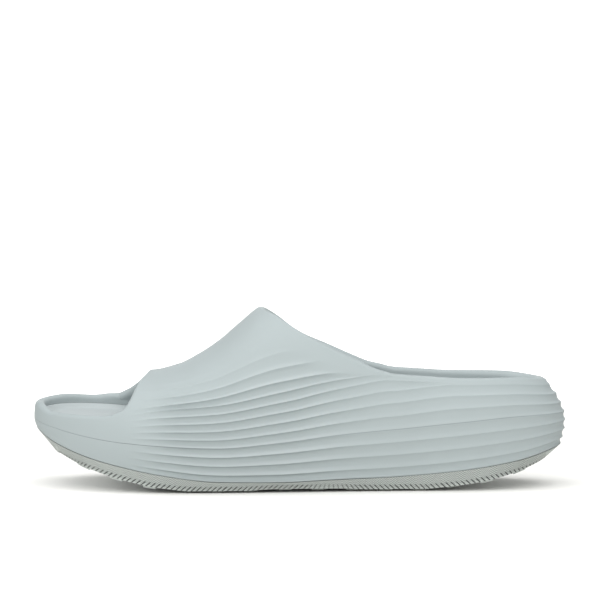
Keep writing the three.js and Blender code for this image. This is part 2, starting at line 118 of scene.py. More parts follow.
CROWN = {
    "at": (0.0, 0.217, 0.273, 0.311, 0.35, 0.387, 0.424, 0.47, 0.53, 0.6, 0.687, 0.8, 1.0),
    "up": (0.72, 0.643, 0.679, 0.736, 0.814, 0.91, 1.0, 1.065, 1.08, 1.02, 0.875, 0.775, 0.69),
}
# Edges of the two openings from the shoulder (climb 0) to the crown (climb 1)
EDGES = {
    ("lateral", "front"): {
        "climb": (0, 0.12, 0.25, 0.5, 0.75, 1),
        "at": (0.155, 0.176, 0.19, 0.203, 0.212, 0.222),
        "rise": (0, 0.09, 0.3, 0.67, 0.88, 1),
    },
    ("lateral", "back"): {
        "climb": (0, 0.12, 0.25, 0.5, 0.75, 1),
        "at": (0.67, 0.646, 0.607, 0.522, 0.468, 0.4225),
        "rise": (0, 0.05, 0.21, 0.5, 0.745, 1),
    },
    ("medial", "front"): {
        "climb": (0, 0.12, 0.25, 0.5, 0.75, 1),
        "at": (0.155, 0.166, 0.178, 0.196, 0.21, 0.222),
        "rise": (0, 0.085, 0.2, 0.455, 0.72, 1),
    },
    ("medial", "back"): {
        "climb": (0, 0.12, 0.25, 0.5, 0.75, 1),
        "at": (0.67, 0.635, 0.592, 0.504, 0.457, 0.4225),
        "rise": (0, 0.06, 0.2, 0.49, 0.745, 1),
    },
}
# How far up the side wall its first four ribs lie
RIB_LINES = {
    "at": (0.5, 0.613, 0.687, 0.8, 1.0),
    "first": (0.2, 0.225, 0.26, 0.35, 0.31),
    "second": (0.4, 0.444, 0.515, 0.66, 0.62),
    "third": (0.6, 0.66, 0.745, 0.925, 0.93),
    "fourth": (0.8, 0.86, 0.93, 0.97, 0.97),
}
# Rows count the crests of the ribs up from the mould line, and columns count along the shoe
SEAM_ROW = -3.75
LOWEST_RIB = 0.75
PARTING_REACH = 0.05
SHOULDER_ROW = 5
FADE_ROW = 5.5
SMOOTH_ROW = 9
LAST_RIB = 9.6
PLAIN_ROW = 10
CROWN_ROW = 12
VAMP_FRONT = 1.0
VAMP_BACK = 2.0
HEEL_BACK = 3.0
RIM_TURN = 0.2
ALONG_STEP = 0.01
ACROSS_STEP = 0.05
VAMP_START = SHOULDER_ROW + 0.001
FRONT_X = EDGES["lateral", "front"]["at"][0] * SHOE_LENGTH
BACK_X = EDGES["lateral", "back"]["at"][0] * SHOE_LENGTH


def mix(a, b, share):
    return a + (b - a) * share


def smooth(low, high, value):
    t = np.clip((value - low) / (high - low), 0, 1)
    return t * t * (3 - 2 * t)


def curve(x, y):
    """A smooth curve through the rows of a table, which never overshoots them."""
    x = np.array(x, float)
    y = np.array(y, float)
    rise = np.diff(y) / np.diff(x)
    slope = np.empty(len(x))
    slope[0] = rise[0]
    slope[-1] = rise[-1]
    for i in range(1, len(x) - 1):
        a, b = rise[i - 1], rise[i]
        slope[i] = 2 * a * b / (a + b) if a * b > 0 else 0

    def read(value):
        v = np.clip(value, x[0], x[-1])
        i = np.clip(np.searchsorted(x, v, side="right") - 1, 0, len(x) - 2)
        span = x[i + 1] - x[i]
        t = (v - x[i]) / span
        back = 1 - t
        return (
            (1 + 2 * t) * back * back * y[i]
            + t * back * back * span * slope[i]
            + t * t * (3 - 2 * t) * y[i + 1]
            - t * t * back * span * slope[i + 1]
        )

    return read


section_curves = {name: curve(SECTIONS["at"], SECTIONS[name]) for name in SECTIONS if name != "at"}
crown_curve = curve(CROWN["at"], CROWN["up"])
edge_curves = {
    key: (curve(table["climb"], table["at"]), curve(table["climb"], table["rise"]))
    for key, table in EDGES.items()
}


def height_of(name, x):
    return np.maximum(section_curves[name](x / SHOE_LENGTH), 0) * HEEL_RIM


def crown_height(x):
    return crown_curve(x / SHOE_LENGTH) * INSTEP_HEIGHT


def half_width(side, x):
    ball = BALL_AT * SHOE_LENGTH
    heel = HEEL_AT * SHOE_LENGTH
    before = np.clip((ball - x) / ball, 0, 1)
    after = np.clip((x - heel) / (SHOE_LENGTH - heel), 0, 1)
    toe = BALL_HALF_WIDTH * (1 - before**SQUARENESS) ** (1 / SQUARENESS)
    back = HEEL_HALF_WIDTH * (1 - after**SQUARENESS) ** (1 / SQUARENESS)
    along = np.clip((x - ball) / (heel - ball), 0, 1)
    waist = MEDIAL_WAIST * np.sin(np.pi * along) ** 2 if side == "medial" else 0
    middle = mix(BALL_HALF_WIDTH, HEEL_HALF_WIDTH, smooth(0, 1, along)) - waist
    return np.where(x < ball, toe, np.where(x > heel, back, middle))


def centre_y(x):
    return TOE_LEAN * (1 - smooth(0, BALL_AT * SHOE_LENGTH, x))


def column_x(column):
    """0 to 1 runs along the toe's rim, 1 to 2 under the vamp and 2 to 3 round the heel."""
    toe_turn = np.clip(column, 0, 1) * np.pi / 2
    heel_turn = np.clip(column - VAMP_BACK, 0, 1) * np.pi / 2
    toe = FRONT_X * (1 - np.cos(toe_turn) ** TOE_BUNCHING)
    vamp = mix(FRONT_X, BACK_X, column - VAMP_FRONT)
    heel = mix(BACK_X, SHOE_LENGTH, np.sin(heel_turn) ** HEEL_BUNCHING)
    return np.where(column <= VAMP_FRONT, toe, np.where(column <= VAMP_BACK, vamp, heel))


def plane(side, x):
    """A column's vertical plane: its place on the centre line, on the outline, and its reach."""
    toe = mix(TOE_SPINE_AT * SHOE_LENGTH, FRONT_X, x / FRONT_X)
    heel = mix(BACK_X, HEEL_SPINE_AT * SHOE_LENGTH, (x - BACK_X) / (SHOE_LENGTH - BACK_X))
    spine_x = np.where(x < FRONT_X, toe, np.where(x > BACK_X, heel, x))
    sign = 1 if side == "medial" else -1
    rim_y = centre_y(x) + sign * half_width(side, x)
    spine_y = centre_y(spine_x)
    reach = np.hypot(x - spine_x, rim_y - spine_y)
    return spine_x, spine_y, rim_y, reach


def in_plane(side, x, share, z):
    """A point of a column's plane: share 0 on the centre line, 1 on the outline."""
    spine_x, spine_y, rim_y, _ = plane(side, x)
    px = mix(spine_x, x, share)
    py = mix(spine_y, rim_y, share)
    px, py, z = np.broadcast_arrays(px, py, z)
    return np.stack([px, py, z], -1)


def toe_zone(x):
    return smooth(0, TOE_ZONE_END * SHOE_LENGTH, x)


def heel_zone(x):
    return smooth(HEEL_ZONE_START * SHOE_LENGTH, SHOE_LENGTH, x)


def seam_tuck(x):
    """How far the seam with the outsole lies inside the outline."""
    front = mix(TOE_SEAM_TUCK, FLANK_SEAM_TUCK, toe_zone(x))
    return mix(front, HEEL_SEAM_TUCK, heel_zone(x))


def turn_at(x, z):
    """Angle round the upper section, 0 on the parting line and a right angle on the crown."""
    low = height_of("parting", x)
    share = np.clip((z - low) / (crown_height(x) - low), 0, 1)
    return np.arcsin(np.minimum(share ** (SQUARENESS / 2), 1))


def upper_section(side, x, turn, inset=0.0):
    low = height_of("parting", x)
    share = np.maximum(np.cos(turn), 0) ** (2 / SQUARENESS)
    share = np.where(turn >= np.pi / 2 - 1e-9, 0, share)
    z = mix(low, crown_height(x), np.maximum(np.sin(turn), 0) ** (2 / SQUARENESS))
    return in_plane(side, x, share - inset / plane(side, x)[3], z)


rib_steps = [curve(RIB_LINES["at"], RIB_LINES[name]) for name in ("first", "second", "third", "fourth")]


def climb_of(x, row):
    """Share of the way from the parting line to the shoulder at a row between them."""
    place = x / SHOE_LENGTH
    stops = [np.zeros_like(place), *[read(place) for read in rib_steps], np.ones_like(place)]
    climb = np.zeros(np.broadcast(x, row).shape)
    for below in range(SHOULDER_ROW):
        share = np.clip(row - below, 0, 1)
        climb = climb + (stops[below + 1] - stops[below]) * share
    return climb


def wall_point(side, x, row):
    """A point of the side: from the mould line down and in to the seam, or up to the shoulder."""
    parting = height_of("parting", x)
    drop = np.clip(row / SEAM_ROW, 0, 1)
    bulge = HEEL_BULGE * heel_zone(x) * np.sin(np.pi * drop)
    tuck = seam_tuck(x) * drop**TUCK_EASE - bulge
    low = in_plane(side, x, 1 - tuck / plane(side, x)[3], mix(parting, height_of("seam", x), drop))
    climb = climb_of(x, row)
    z = mix(parting, height_of(side, x), climb)
    inset = HEEL_LEAN * heel_zone(x) * climb**LEAN_EASE
    high = upper_section(side, x, turn_at(x, z), inset)
    return np.where((row < 0)[..., None], low, high)


def vamp_point(side, column, row):
    """A point of the vamp, whose rows bend to keep to the edges of both openings."""
    climb = np.clip((row - SHOULDER_ROW) / (CROWN_ROW - SHOULDER_ROW), 0, 1)
    across = np.clip(column - VAMP_FRONT, 0, 1)
    front_at, front_rise = edge_curves[side, "front"]
    back_at, back_rise = edge_curves[side, "back"]
    x = mix(front_at(climb), back_at(climb), across) * SHOE_LENGTH
    shoulder = height_of(side, x)
    start = turn_at(x, shoulder)
    free = mix(start, np.pi / 2, VAMP_EVEN * climb + (1 - VAMP_EVEN) * climb**VAMP_EASE)
    near_front = (1 - across) ** EDGE_HOLD
    near_back = across**EDGE_HOLD
    front_turn = turn_at(x, mix(shoulder, crown_height(x), front_rise(climb)))
    back_turn = turn_at(x, mix(shoulder, crown_height(x), back_rise(climb)))
    turn = free * (1 - near_front - near_back) + front_turn * near_front + back_turn * near_back
    turn = np.where(climb >= 1, np.pi / 2, turn)
    return upper_section(side, x, turn)


def skin_point(side, column, row):
    on_wall = (row <= SHOULDER_ROW)[..., None]
    wall = wall_point(side, column_x(column), np.minimum(row, SHOULDER_ROW))
    return np.where(on_wall, wall, vamp_point(side, column, row))


def unit(vectors):
    return vectors / np.maximum(np.linalg.norm(vectors, axis=-1, keepdims=True), 1e-12)


def outward(side, column, row):
    """Outward direction of the smooth skin, from its slopes along and across."""
    on_vamp = row > SHOULDER_ROW
    zone_low = np.where(on_vamp, VAMP_FRONT, 0.0)
    zone_high = np.where(on_vamp, VAMP_BACK, HEEL_BACK)
    row_low = np.where(on_vamp, VAMP_START, SEAM_ROW)
    row_high = np.where(on_vamp, CROWN_ROW, SHOULDER_ROW)
    c0 = np.clip(column - ALONG_STEP, zone_low, zone_high)
    c1 = np.clip(column + ALONG_STEP, zone_low, zone_high)
    r0 = np.clip(row - ACROSS_STEP, row_low, row_high)
    r1 = np.clip(row + ACROSS_STEP, row_low, row_high)
    along = skin_point(side, c1, row) - skin_point(side, c0, row)
    across = skin_point(side, column, r1) - skin_point(side, column, r0)
    normal = unit(np.cross(along, across))
    if side == "medial":
        normal = -normal
    zero = np.zeros_like(along[..., 0])
    crown = np.stack([-along[..., 2], zero, along[..., 0]], -1)
    tip = np.stack([-across[..., 2], zero, across[..., 0]], -1)
    normal = np.where((row >= CROWN_ROW)[..., None], crown, normal)
    normal = np.where((column <= 0)[..., None], tip, normal)
    normal = np.where((column >= HEEL_BACK)[..., None], -tip, normal)
    return unit(normal)


def rib_strength(side, column, row):
    """How deep the scoops are at a place, from 0 to 1."""
    share = skin_point(side, column, row)[..., 0] / SHOE_LENGTH
    toe = smooth(*RIBS_BEGIN, share)
    heel = mix(1, HEEL_RIB_SHARE, smooth(*RIBS_EASE, share)) + BACK_RIB_GAIN * smooth(*BACK_RIBS, share)
    reach_back = np.clip((row - SHOULDER_ROW) / (SMOOTH_ROW - SHOULDER_ROW), 0, 1)
    fade_from = COLLAR_FADE - COLLAR_FADE_LEAN * reach_back
    collar = 1 - smooth(fade_from, fade_from + COLLAR_FADE_SPAN, share)
    top = np.where(row > SHOULDER_ROW, (1 - smooth(FADE_ROW, LAST_RIB, row)) * collar, 1)
    x = share * SHOE_LENGTH
    below = np.clip(np.floor(row), 0, SHOULDER_ROW - 1)
    span = climb_of(x, below + 1) - climb_of(x, below)
    drawn = np.where((row > 0) & (row < SHOULDER_ROW), smooth(*NARROW_RIB, span), 1)
    return toe * heel * top * drawn


def scoop(side, column, row):
    """Depth of the round scoop between two crests, and of the fine groove on the mould line."""
    low = row < SEAM_ROW + LOWEST_RIB
    place = np.where(low, (row - SEAM_ROW) / LOWEST_RIB, row - np.floor(row))
    hollow = 4 * place * (1 - place)
    ribs = RIB_DEPTH * hollow * rib_strength(side, column, row)
    groove = PARTING_DEPTH * (1 - smooth(0.0, PARTING_REACH, np.abs(row)))
    return ribs + groove


def outer_point(side, column, row):
    depth = scoop(side, column, row)[..., None]
    return skin_point(side, column, row) - outward(side, column, row) * depth


def wall_at(column):
    """The foam's thickness at the rims and over the vamp."""
    heel = mix(RIM_WALL, HEEL_WALL, smooth(VAMP_BACK + RIM_TURN, HEEL_BACK, column))
    vamp = mix(RIM_WALL, VAMP_WALL, np.clip(column - VAMP_FRONT, 0, 1))
    return np.where(column > VAMP_BACK, heel, vamp)


def footbed_height(x, share):
    """The insole's top, dished a little from its edge (share 1) to the middle (share 0)."""
    return height_of("footbed", x) - FOOTBED_DISH + FOOTBED_DISH * share**DISH_EASE


def inner_point(side, column, row):
    """The inner skin, one wall inside the outer; round the rims the wall is kept upright."""
    direction = outward(side, column, row)
    toe_rim = 1 - smooth(VAMP_FRONT - RIM_TURN, VAMP_FRONT, column)
    heel_rim = smooth(VAMP_BACK, VAMP_BACK + RIM_TURN, column)
    level = np.ones(direction.shape)
    level[..., 2] = 1 - LEVEL_TURN * np.maximum(toe_rim, heel_rim)
    direction = unit(direction * level)
    point = skin_point(side, column, row) - direction * wall_at(column)[..., None]
    floor = footbed_height(point[..., 0], 1.0) + FIT_GAP
    lifted = np.maximum(point[..., 2], floor)
    point[..., 2] = np.where(row == SHOULDER_ROW, lifted, point[..., 2])
    return point


def foot_share(side, x):
    """The footbed's edge on its column's plane, inside the wall at the foot."""
    front = mix(TOE_FOOT_WALL, FOOT_WALL, toe_zone(x))
    wall = mix(front, HEEL_FOOT_WALL, heel_zone(x))
    return 1 - wall / plane(side, x)[3]


def foam_under(x, share):
    """The foam's underside, from the middle (share 0) out to the seam (share 1)."""
    middle = height_of("under", x) + OUTSOLE_THICKNESS + FIT_GAP
    return mix(middle, height_of("seam", x), share**UNDER_EASE)


# The mark of a corner that carries no pattern, and how closely two corners count as one
NO_MARK = (90.0, 0.0, 0.0)
CORNERS_PER_METRE = 2e6


class Sheet:
    """A mesh of quads whose shared corners are merged."""

    def __init__(self):
        self.points = []
        self.faces = []
        self.marks = []
        self.known = {}

    def corner(self, point, mark):
        key = tuple(np.round(point * CORNERS_PER_METRE).astype(int))
        if key not in self.known:
            self.known[key] = len(self.points)
            self.points.append(tuple(point))
            self.marks.append(mark)
        return self.known[key]

    def grid(self, strips, flip, marks=None):
        """Joins strips of points, each lying further along than the last."""
        ids = []
        for i, strip in enumerate(strips):
            row = []
            for k, point in enumerate(strip):
                mark = tuple(marks[i][k]) if marks is not None else NO_MARK
                row.append(self.corner(point, mark))
            ids.append(row)
        for first, second in zip(ids, ids[1:]):
            for k in range(len(first) - 1):
                ring = [first[k], second[k], second[k + 1], first[k + 1]]
                ring = [v for n, v in enumerate(ring) if v != ring[n - 1]]
                if len(set(ring)) < 3:
                    continue
                self.faces.append(ring[::-1] if flip else ring)

    def build(self, name):
        mesh = bpy.data.meshes.new(name)
        mesh.from_pydata(self.points, [], self.faces)
        marks = mesh.attributes.new("mark", "FLOAT_VECTOR", "POINT")
        marks.data.foreach_set("vector", np.array(self.marks, float).ravel())
        mesh.polygons.foreach_set("use_smooth", [True] * len(mesh.polygons))
        mesh.validate()
        mesh.update()
        made = bpy.data.objects.new(name, mesh)
        bpy.context.scene.collection.objects.link(made)
        return made


def shift_to_frame(piece):
    """Moves a mesh, drawn from the toe's tip, to the place that the frame gives the foam."""
    move = Vector((foam_low.x, foam_low.y - FRAME_SIDE, 0.0))
    piece.data.transform(Matrix.Translation(move))


def even_columns(toe, vamp, heel):
    return np.concatenate([
        np.arange(toe) / toe,
        VAMP_FRONT + np.arange(vamp) / vamp,
        VAMP_BACK + np.arange(heel + 1) / heel,
    ])


COLUMNS = even_columns(toe=40, vamp=74, heel=58)
CREST_STEPS = (0.0, 0.05, 0.13, 0.24, 0.37, 0.5, 0.63, 0.76, 0.87, 0.95)
CROWN_STEPS = 15
WALL_STEPS = 8
FLOOR_SHARES = (1.0, 0.7, 0.35, 0.0)
UNDER_SHARES = (0.0, 0.45, 0.8)
LIP_STEPS = 8
LIP_ROUNDNESS = 0.85
RIM_BEHIND = 2.0
ARCH_BEHIND = 0.1


def rib_rows(low, high):
    rows = [low]
    for base in range(math.floor(low), math.ceil(high)):
        rows += [base + step for step in CREST_STEPS if low < base + step < high]
    return np.array(rows + [high])


WALL_ROWS = rib_rows(SEAM_ROW, SHOULDER_ROW)
CROWN_ROWS = np.linspace(PLAIN_ROW, CROWN_ROW, CROWN_STEPS)
VAMP_ROWS = np.concatenate([rib_rows(SHOULDER_ROW, PLAIN_ROW)[:-1], CROWN_ROWS])


def on_grid(function, side, columns, rows):
    c, r = np.meshgrid(columns, rows, indexing="ij")
    return function(side, c, r)


def inside_strips(side, columns):
    """From the rim's inner edge down the wall to the footbed, and over the recess to the middle."""
    x = column_x(columns)
    lip = inner_point(side, columns, np.full_like(columns, SHOULDER_ROW))
    foot = foot_share(side, x)
    bed = in_plane(side, x, foot, footbed_height(x, 1.0))
    drop = INSOLE_THICKNESS + FIT_GAP
    strips = [lip]
    for share in np.linspace(0, 1, WALL_STEPS + 1)[1:]:
        strips.append(mix(lip, bed, share))
    for share in FLOOR_SHARES:
        strips.append(in_plane(side, x, foot * share, footbed_height(x, share) - drop))
    return np.stack(strips, 1)


def lip_rings(stops):
    """The rounded lip between the outer and inner edges of an opening."""
    outer = np.array([stop[0] for stop in stops])
    inner = np.array([stop[1] for stop in stops])
    behind = np.array([stop[2] for stop in stops])
    along = unit(np.roll(outer, -1, 0) - np.roll(outer, 1, 0))
    half = (outer - inner) / 2
    middle = (outer + inner) / 2
    out = unit(np.cross(along, half))
    wrong = np.sum(out * (middle - behind), -1, keepdims=True) < 0
    out = np.where(wrong, -out, out) * np.linalg.norm(half, axis=-1, keepdims=True) * LIP_ROUNDNESS
    turns = [k * math.pi / LIP_STEPS for k in range(LIP_STEPS + 1)]
    rings = np.stack([middle + half * math.cos(turn) + out * math.sin(turn) for turn in turns], 1)
    return np.concatenate([rings, rings[:1]], 0)


def edge_stops(side, columns, rows, behind_columns, behind_rows):
    """The outer and inner edges of an opening, and the places of the skin a little behind it."""
    columns = np.array(columns, float)
    rows = np.array(rows, float)
    outer = outer_point(side, columns, rows)
    inner = inner_point(side, columns, rows)
    behind = skin_point(side, np.array(behind_columns, float), np.array(behind_rows, float))
    return list(zip(outer, inner, behind))


LINE_FADES = (0.25, 0.5)
LINE_LOSS = 0.6


def row_marks(side, columns, rows):
    """The row, the ribs' strength and the mould line's strength at every corner of a grid."""
    c, r = np.meshgrid(columns, rows, indexing="ij")
    share = skin_point(side, c, r)[..., 0] / SHOE_LENGTH
    return np.stack([r, rib_strength(side, c, r), 1 - LINE_LOSS * smooth(*LINE_FADES, share)], -1)


def foam_sheet():
    sheet = Sheet()
    for side in ("lateral", "medial"):
        flip = side == "medial"
        x = column_x(COLUMNS)
        seam_share = 1 - seam_tuck(x) / plane(side, x)[3]
        under = [in_plane(side, x, share * seam_share, foam_under(x, share)) for share in UNDER_SHARES]
        wall = on_grid(outer_point, side, COLUMNS, WALL_ROWS)
        outer = np.concatenate([np.stack(under, 1), wall], 1)
        plain = np.zeros((len(COLUMNS), len(under), 3))
        plain[..., 0] = SEAM_ROW
        sheet.grid(outer, flip, np.concatenate([plain, row_marks(side, COLUMNS, WALL_ROWS)], 1))
        sheet.grid(inside_strips(side, COLUMNS), flip)
        vamp = COLUMNS[(COLUMNS >= VAMP_FRONT) & (COLUMNS <= VAMP_BACK)]
        sheet.grid(on_grid(outer_point, side, vamp, VAMP_ROWS), flip, row_marks(side, vamp, VAMP_ROWS))
        sheet.grid(on_grid(inner_point, side, vamp, VAMP_ROWS[::-1]), flip)
    toe = COLUMNS[COLUMNS <= VAMP_FRONT]
    heel = COLUMNS[COLUMNS >= VAMP_BACK]
    rows = VAMP_ROWS[1:]

    def rim(side, columns):
        shoulder = np.full(len(columns), float(SHOULDER_ROW))
        return edge_stops(side, columns, shoulder, columns, shoulder - RIM_BEHIND)

    def arch(side, column, step):
        place = np.full(len(rows), column)
        return edge_stops(side, place, rows, place + step, rows)

    toe_loop = (
        rim("lateral", toe)
        + arch("lateral", VAMP_FRONT, ARCH_BEHIND)
        + arch("medial", VAMP_FRONT, ARCH_BEHIND)[::-1][1:]
        + rim("medial", toe[1:])[::-1]
    )
    heel_loop = (
        arch("lateral", VAMP_BACK, -ARCH_BEHIND)[::-1]
        + rim("lateral", heel)
        + rim("medial", heel[:-1])[::-1]
        + arch("medial", VAMP_BACK, -ARCH_BEHIND)[:-1]
    )
    sheet.grid(lip_rings(toe_loop), False)
    sheet.grid(lip_rings(heel_loop), False)
    return sheet


FRAME_SIDE = float(np.min(outer_point("lateral", COLUMNS, np.zeros_like(COLUMNS))[:, 1]))
foam = foam_sheet().build("foam_body")
shift_to_frame(foam)


class Value:
    """A socket's output, with arithmetic that adds Math nodes."""

    def __init__(self, paint, socket):
        self.paint = paint
        self.socket = socket

    def math(self, operation, *others):
        return self.paint.node("ShaderNodeMath", {"operation": operation}, [self, *others])

    def __add__(self, other):
        return self.math("ADD", other)

    def __mul__(self, other):
        return self.math("MULTIPLY", other)

    def __sub__(self, other):
        return self.math("SUBTRACT", other)

    def __truediv__(self, other):
        return self.math("DIVIDE", other)

    def __rsub__(self, other):
        return self.paint.node("ShaderNodeMath", {"operation": "SUBTRACT"}, [other, self])

    def __rtruediv__(self, other):
        return self.paint.node("ShaderNodeMath", {"operation": "DIVIDE"}, [other, self])

    __radd__ = __add__
    __rmul__ = __mul__


class Paint:
    """A material and its nodes."""

    def __init__(self, name):
        self.material = bpy.data.materials.new(name)
        self.material.use_nodes = True
        self.tree = self.material.node_tree
        self.shader = self.tree.nodes["Principled BSDF"]

    def node(self, kind, settings=None, inputs=(), output=0):
        """Adds a node: its settings are set first, then the values or links of its sockets."""
        made = self.tree.nodes.new(kind)
        for name, value in (settings or {}).items():
            setattr(made, name, value)
        pairs = inputs.items() if isinstance(inputs, dict) else enumerate(inputs)
        for key, value in pairs:
            if isinstance(value, Value):
                self.tree.links.new(value.socket, made.inputs[key])
            else:
                made.inputs[key].default_value = value
        return Value(self, made.outputs[output])

    def noise(self, scale, detail=2.0, rough=0.5):
        where = self.node("ShaderNodeTexCoord", output="Object")
        inputs = {"Vector": where, "Scale": scale, "Detail": detail, "Roughness": rough}
        return self.node("ShaderNodeTexNoise", {}, inputs)

    def mark(self, axis):
        """One part of the mark that a mesh carries at each of its corners."""
        whole = self.node("ShaderNodeAttribute", {"attribute_name": "mark"}, output=1)
        return self.node("ShaderNodeSeparateXYZ", {}, [whole], output="XYZ".index(axis))

    def ramp(self, value, low, high, start=0.0, end=1.0):
        inputs = {"Value": value, "From Min": low, "From Max": high, "To Min": start, "To Max": end}
        return self.node("ShaderNodeMapRange", {"interpolation_type": "SMOOTHSTEP"}, inputs)

    def blend(self, share, first, second):
        """A mix of two colours; the node's sockets 6 and 7, and its output 2, are the colours."""
        return self.node("ShaderNodeMix", {"data_type": "RGBA"}, {0: share, 6: first, 7: second}, output=2)

    def feed(self, name, value):
        if isinstance(value, Value):
            self.tree.links.new(value.socket, self.shader.inputs[name])
        else:
            self.shader.inputs[name].default_value = value

    def bump(self, height, distance, strength=1.0):
        inputs = {"Height": height, "Distance": distance, "Strength": strength}
        self.feed("Normal", self.node("ShaderNodeBump", {}, inputs))


def linear(red, green, blue):
    """A colour given as on screen, 0 to 255, in the shader's linear units."""
    def one(value):
        share = value / 255
        return share / 12.92 if share <= 0.04045 else ((share + 0.055) / 1.055) ** 2.4
    return (one(red), one(green), one(blue), 1.0)


# Where the painted highlight on the crests, the painted shade in the hollows and the mould line lie within
# a row of ribs
HIGHLIGHT_FADES = (0.12, 0.42)
SHADE_GROWS = (0.72, 0.97)
# How strongly the painted highlight and the painted shade of the ribs show
RIB_SHADE = 0.6
LINE_WIDTH_SQUARED = 0.0018
LEAST_ROUGHNESS = 0.62
ROUGHNESS_SPREAD = 0.1
foam_paint = Paint("moulded_foam")
speckle = foam_paint.noise(scale=900.0, detail=3.0, rough=0.6)
cloud = foam_paint.noise(scale=18.0)
foam_pale = linear(156, 165, 166)
foam_deep = linear(152, 161, 162)
crest_painted_highlight = linear(172, 180, 181)
hollow_painted_shade = linear(130, 139, 140)
mould_line = linear(92, 98, 98)
row_number = foam_paint.mark("X")
on_line = foam_paint.ramp(row_number * row_number, 0.0, LINE_WIDTH_SQUARED, 1.0, 0.0)
on_line = on_line * foam_paint.mark("Z")
foam_skin = foam_paint.blend(cloud, foam_deep, foam_pale)
above_crest = row_number.math("FRACT")
rib_depth = foam_paint.mark("Y")
# Painted highlight: the colour is made paler just above each crest, where light from above catches the rib
crest_highlight = foam_paint.ramp(above_crest, *HIGHLIGHT_FADES, 1.0, 0.0) * rib_depth * rib_depth
# Painted shade: the colour is made darker just below each crest, where the scoop faces down and lies in
# shade
hollow = foam_paint.ramp(above_crest, *SHADE_GROWS) * rib_depth * rib_depth
foam_skin = foam_paint.blend(crest_highlight * RIB_SHADE, foam_skin, crest_painted_highlight)
foam_skin = foam_paint.blend(hollow * RIB_SHADE, foam_skin, hollow_painted_shade)
foam_paint.feed("Base Color", foam_paint.blend(on_line, foam_skin, mould_line))
foam_paint.feed("Roughness", speckle * ROUGHNESS_SPREAD + LEAST_ROUGHNESS)
foam_paint.feed("Specular IOR Level", 0.35)
foam_paint.bump(speckle, distance=0.08 * MM, strength=0.5)
foam.data.materials.append(foam_paint.material)
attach(foam, "root")
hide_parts("foam_upper_and_midsole")

# Insole: a soft sheet that lies in the foam's recess, its edge turned up a little along the wall.
# It is a fine matt textile over thin foam, glued down.
BED_TURN_UP = 2.4 * MM
TURN_UP_FROM = 0.84
MOST_CLIMB = 0.8
LEAST_WALL = 0.1 * MM
BED_SHARES = (1.0, 0.985, 0.965, 0.94, 0.91, 0.87, 0.8, 0.7, 0.5, 0.3, 0.15, 0.0)


def insole_stack(side, columns):
    """The sheet's edge turns up a little along the foam's wall, where the wall is high enough."""
    x = column_x(columns)
    foot = foot_share(side, x)
    edge = foot - FIT_GAP / plane(side, x)[3]
    lip = inner_point(side, columns, np.full_like(columns, SHOULDER_ROW))
    wall = lip - in_plane(side, x, foot, footbed_height(x, 1.0))
    climb = np.minimum(BED_TURN_UP / np.maximum(wall[:, 2], LEAST_WALL), MOST_CLIMB)[:, None] * wall
    flat = [in_plane(side, x, edge * share, footbed_height(x, share)) for share in BED_SHARES]
    top = [point + climb * smooth(TURN_UP_FROM, 1, share) ** 2 for point, share in zip(flat, BED_SHARES)]
    under = [point - np.array([0, 0, INSOLE_THICKNESS]) for point in flat][::-1]
    return np.stack(under + top, 1)


insole_sheet = Sheet()
for side in ("lateral", "medial"):
    insole_sheet.grid(insole_stack(side, COLUMNS), side == "medial")
insole = insole_sheet.build("footbed")
shift_to_frame(insole)
insole_paint = Paint("footbed_textile")
weave = insole_paint.noise(scale=1400.0, rough=0.6)
thread_deep = linear(160, 168, 169)
thread_pale = linear(168, 175, 176)
insole_paint.feed("Base Color", insole_paint.blend(weave, thread_deep, thread_pale))
insole_paint.feed("Roughness", 0.85)
insole_paint.bump(weave, distance=0.15 * MM, strength=0.6)
insole.data.materials.append(insole_paint.material)
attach(insole, "root")
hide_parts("insole")

# Outsole: moulded rubber glued under the foam, with tread bars across it.
# Its side carries a fine herringbone with short slits along the lower edge.
LUG_DEPTH = 1.4 * MM
EDGE_RISE = 1.2 * MM
BAR_END_RISE = 0.3 * MM
FLANK_TUCK = 5.5 * MM
END_TUCK = 11 * MM
TREAD_PITCH = 18.5 * MM
BAR_LENGTH = 7 * MM
FIRST_BAR = 7.8 * MM
CHANNEL = 8 * MM
BAR_INSET = 0.8 * MM
TOE_TUCK_END = 0.12
TOE_BARS_END = (0.22, 0.27)
HEEL_BARS_START = (0.8, 0.86)
LEAN_TURNS = (0.5, 0.62)
TREAD_SHARES = (0.0, 0.5, 0.9)
SIDE_SHARES = (0.0, 0.25, 0.5, 0.75)
EDGE_LEVEL = len(TREAD_SHARES)
SEAM_LEVEL = EDGE_LEVEL + len(SIDE_SHARES)

# The side's pattern: pitches, lengths and heights in millimetres, fades and lines in shares of a pitch
SLIT_PITCH = 2.8
SLIT_FADES = (0.1, 0.18)
SLIT_FOOT = (-0.6, 0.1)
SLIT_TOP = (2.4, 3.0)
SLIT_LEAST = 0.5
SLIT_LEAN_GAIN = 0.45
ZIGZAG_LENGTH = 9.0
ZIGZAG_PITCH = 1.15
ZIGZAG_HEIGHT = 6.0
ZIGZAG_LINE = (0.15, 0.35)
ZIGZAG_FOOT = (0.5, 1.5)
ZIGZAG_SHADE = 0.8
ZIGZAG_DEPTH = 0.5
GRIT_HEIGHT = 0.2
UNDERSIDE_MARK = -5.0


def underside_tuck(x):
    """How far the side's lower edge lies inside the outline."""
    toe = 1 - smooth(0, TOE_TUCK_END * SHOE_LENGTH, x)
    return mix(FLANK_TUCK, END_TUCK, np.maximum(toe, heel_zone(x)))


def bar_end(x):
    """The bars' ends come lower than the side's edge at the toe and the heel."""
    toe = 1 - smooth(*TOE_BARS_END, x / SHOE_LENGTH)
    heel = smooth(*HEEL_BARS_START, x / SHOE_LENGTH)
    return mix(EDGE_RISE, BAR_END_RISE, np.maximum(toe, heel))


